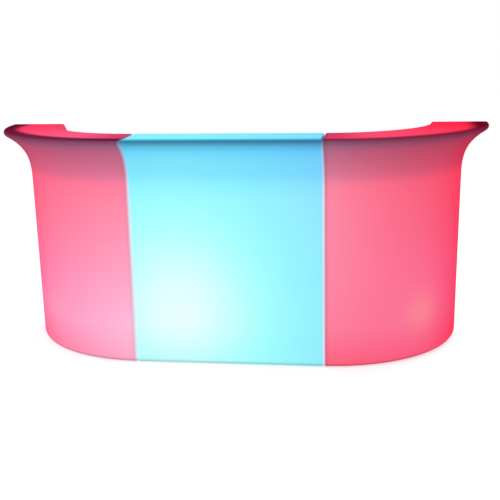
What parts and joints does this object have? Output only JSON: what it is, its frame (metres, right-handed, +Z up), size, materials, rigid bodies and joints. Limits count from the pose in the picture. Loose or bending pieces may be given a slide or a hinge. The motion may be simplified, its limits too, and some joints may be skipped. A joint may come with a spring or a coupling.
{
  "type": "illuminated bar counter",
  "caption": "Freestanding bar counter that glows from inside: a straight middle and two rounded corner modules with a raised serving ledge, rear bays and shelves.",
  "frame": {"origin": "centre of the overall box at floor level, under the middle of the counter", "axes": "+X along the counter, to the right for a guest who faces it; +Y from the guest towards the person who serves; +Z up"},
  "size_m": [2.4856, 0.7905, 1.1],
  "materials": {
    "shell_middle": "translucent rotationally moulded polyethylene, lit cyan from inside",
    "shell_left": "translucent rotationally moulded polyethylene, lit pink from inside",
    "shell_right": "translucent rotationally moulded polyethylene, lit pinkish red from inside",
    "lamp_lid": "moulded polypropylene, fine spark texture",
    "rubber": "moulded soft rubber",
    "battery_pack": "moulded casing, fine texture",
    "led_board": "white solder mask with light-emitting chips",
    "lamp_dome": "frosted polycarbonate",
    "control_plate": "moulded, satin",
    "charge_socket": "nickel plated",
    "lead": "smooth cable jacket",
    "shelf": "moulded polyethylene board, fine orange-peel skin",
    "power_button": "moulded, satin",
    "foot": "glass-filled nylon",
    "clamp_knob": "moulded phenolic resin, satin",
    "clamp_bolt": "zinc plated"
  },
  "bodies": {
    "counter": {"shell_middle": "shell_middle", "lamp_lid_middle": "lamp_lid", "lid_seal_middle": "rubber", "battery_pack_middle": "battery_pack", "led_board_middle": "led_board", "lamp_dome_middle": "lamp_dome", "control_plate_middle": "control_plate", "charge_socket_middle": "charge_socket", "lamp_lead_middle": "lead", "shell_left": "shell_left", "lamp_lid_left": "lamp_lid", "lid_seal_left": "rubber", "battery_pack_left": "battery_pack", "led_board_left": "led_board", "lamp_dome_left": "lamp_dome", "control_plate_left": "control_plate", "charge_socket_left": "charge_socket", "lamp_lead_left": "lead", "shell_right": "shell_right", "lamp_lid_right": "lamp_lid", "lid_seal_right": "rubber", "battery_pack_right": "battery_pack", "led_board_right": "led_board", "lamp_dome_right": "lamp_dome", "control_plate_right": "control_plate", "charge_socket_right": "charge_socket", "lamp_lead_right": "lead"},
    "shelf_middle": {"shelf_middle": "shelf"},
    "shelf_left": {"shelf_left": "shelf"},
    "shelf_right": {"shelf_right": "shelf"},
    "power_button_middle": {"power_button_middle": "power_button"},
    "socket_cap_middle": {"socket_cap_middle": "rubber"},
    "power_button_left": {"power_button_left": "power_button"},
    "socket_cap_left": {"socket_cap_left": "rubber"},
    "power_button_right": {"power_button_right": "power_button"},
    "socket_cap_right": {"socket_cap_right": "rubber"},
    "foot_middle_1": {"foot_middle_1": "foot"},
    "foot_middle_2": {"foot_middle_2": "foot"},
    "foot_middle_3": {"foot_middle_3": "foot"},
    "foot_middle_4": {"foot_middle_4": "foot"},
    "foot_left_1": {"foot_left_1": "foot"},
    "foot_left_2": {"foot_left_2": "foot"},
    "foot_left_3": {"foot_left_3": "foot"},
    "foot_left_4": {"foot_left_4": "foot"},
    "foot_right_1": {"foot_right_1": "foot"},
    "foot_right_2": {"foot_right_2": "foot"},
    "foot_right_3": {"foot_right_3": "foot"},
    "foot_right_4": {"foot_right_4": "foot"},
    "clamp_left_lower": {"clamp_knob_left_lower": "clamp_knob", "clamp_bolt_left_lower": "clamp_bolt"},
    "clamp_left_upper": {"clamp_knob_left_upper": "clamp_knob", "clamp_bolt_left_upper": "clamp_bolt"},
    "clamp_right_lower": {"clamp_knob_right_lower": "clamp_knob", "clamp_bolt_right_lower": "clamp_bolt"},
    "clamp_right_upper": {"clamp_knob_right_upper": "clamp_knob", "clamp_bolt_right_upper": "clamp_bolt"}
  },
  "joints": [
    {"name": "shelf_middle_pull", "type": "slide", "parent": "counter", "child": "shelf_middle", "axis": [0, 1, 0], "range_m": [0, 0.2]},
    {"name": "shelf_left_pull", "type": "slide", "parent": "counter", "child": "shelf_left", "axis": [0.7071, 0.7071, 0], "range_m": [0, 0.2]},
    {"name": "shelf_right_pull", "type": "slide", "parent": "counter", "child": "shelf_right", "axis": [-0.7071, 0.7071, 0], "range_m": [0, 0.2]},
    {"name": "power_button_middle_press", "type": "slide", "parent": "counter", "child": "power_button_middle", "axis": [0, -1, 0], "range_m": [0, 0.002], "stiffness_N_per_m": 800, "springref_m": -0.001},
    {"name": "socket_cap_middle_hinge", "type": "hinge", "parent": "counter", "child": "socket_cap_middle", "pos_m": [-0.252, 0.1952, 0.07567], "axis": [1, 0, 0], "range_deg": [0, 120]},
    {"name": "power_button_left_press", "type": "slide", "parent": "counter", "child": "power_button_left", "axis": [-0.7071, -0.7071, 0], "range_m": [0, 0.002], "stiffness_N_per_m": 800, "springref_m": -0.001},
    {"name": "socket_cap_left_hinge", "type": "hinge", "parent": "counter", "child": "socket_cap_left", "pos_m": [-0.58191, 0.24114, 0.07567], "axis": [0.7071, -0.7071, 0], "range_deg": [0, 120]},
    {"name": "power_button_right_press", "type": "slide", "parent": "counter", "child": "power_button_right", "axis": [0.7071, -0.7071, 0], "range_m": [0, 0.002], "stiffness_N_per_m": 800, "springref_m": -0.001},
    {"name": "socket_cap_right_hinge", "type": "hinge", "parent": "counter", "child": "socket_cap_right", "pos_m": [0.60736, 0.26659, 0.07567], "axis": [0.7071, 0.7071, 0], "range_deg": [0, 120]},
    {"name": "foot_middle_1_screw", "type": "slide", "parent": "counter", "child": "foot_middle_1", "axis": [0, 0, -1], "range_m": [0, 0.015]},
    {"name": "foot_middle_2_screw", "type": "slide", "parent": "counter", "child": "foot_middle_2", "axis": [0, 0, -1], "range_m": [0, 0.015]},
    {"name": "foot_middle_3_screw", "type": "slide", "parent": "counter", "child": "foot_middle_3", "axis": [0, 0, -1], "range_m": [0, 0.015]},
    {"name": "foot_middle_4_screw", "type": "slide", "parent": "counter", "child": "foot_middle_4", "axis": [0, 0, -1], "range_m": [0, 0.015]},
    {"name": "foot_left_1_screw", "type": "slide", "parent": "counter", "child": "foot_left_1", "axis": [0, 0, -1], "range_m": [0, 0.015]},
    {"name": "foot_left_2_screw", "type": "slide", "parent": "counter", "child": "foot_left_2", "axis": [0, 0, -1], "range_m": [0, 0.015]},
    {"name": "foot_left_3_screw", "type": "slide", "parent": "counter", "child": "foot_left_3", "axis": [0, 0, -1], "range_m": [0, 0.015]},
    {"name": "foot_left_4_screw", "type": "slide", "parent": "counter", "child": "foot_left_4", "axis": [0, 0, -1], "range_m": [0, 0.015]},
    {"name": "foot_right_1_screw", "type": "slide", "parent": "counter", "child": "foot_right_1", "axis": [0, 0, -1], "range_m": [0, 0.015]},
    {"name": "foot_right_2_screw", "type": "slide", "parent": "counter", "child": "foot_right_2", "axis": [0, 0, -1], "range_m": [0, 0.015]},
    {"name": "foot_right_3_screw", "type": "slide", "parent": "counter", "child": "foot_right_3", "axis": [0, 0, -1], "range_m": [0, 0.015]},
    {"name": "foot_right_4_screw", "type": "slide", "parent": "counter", "child": "foot_right_4", "axis": [0, 0, -1], "range_m": [0, 0.015]},
    {"name": "clamp_left_lower_turn", "type": "hinge", "parent": "counter", "child": "clamp_left_lower", "pos_m": [-0.36798, 0.0735, 0.29], "axis": [1, 0, 0], "continuous": true},
    {"name": "clamp_left_upper_turn", "type": "hinge", "parent": "counter", "child": "clamp_left_upper", "pos_m": [-0.38598, 0.0735, 0.639], "axis": [1, 0, 0], "continuous": true},
    {"name": "clamp_right_lower_turn", "type": "hinge", "parent": "counter", "child": "clamp_right_lower", "pos_m": [0.36798, 0.0735, 0.29], "axis": [1, 0, 0], "continuous": true},
    {"name": "clamp_right_upper_turn", "type": "hinge", "parent": "counter", "child": "clamp_right_upper", "pos_m": [0.38598, 0.0735, 0.639], "axis": [1, 0, 0], "continuous": true}
  ]
}
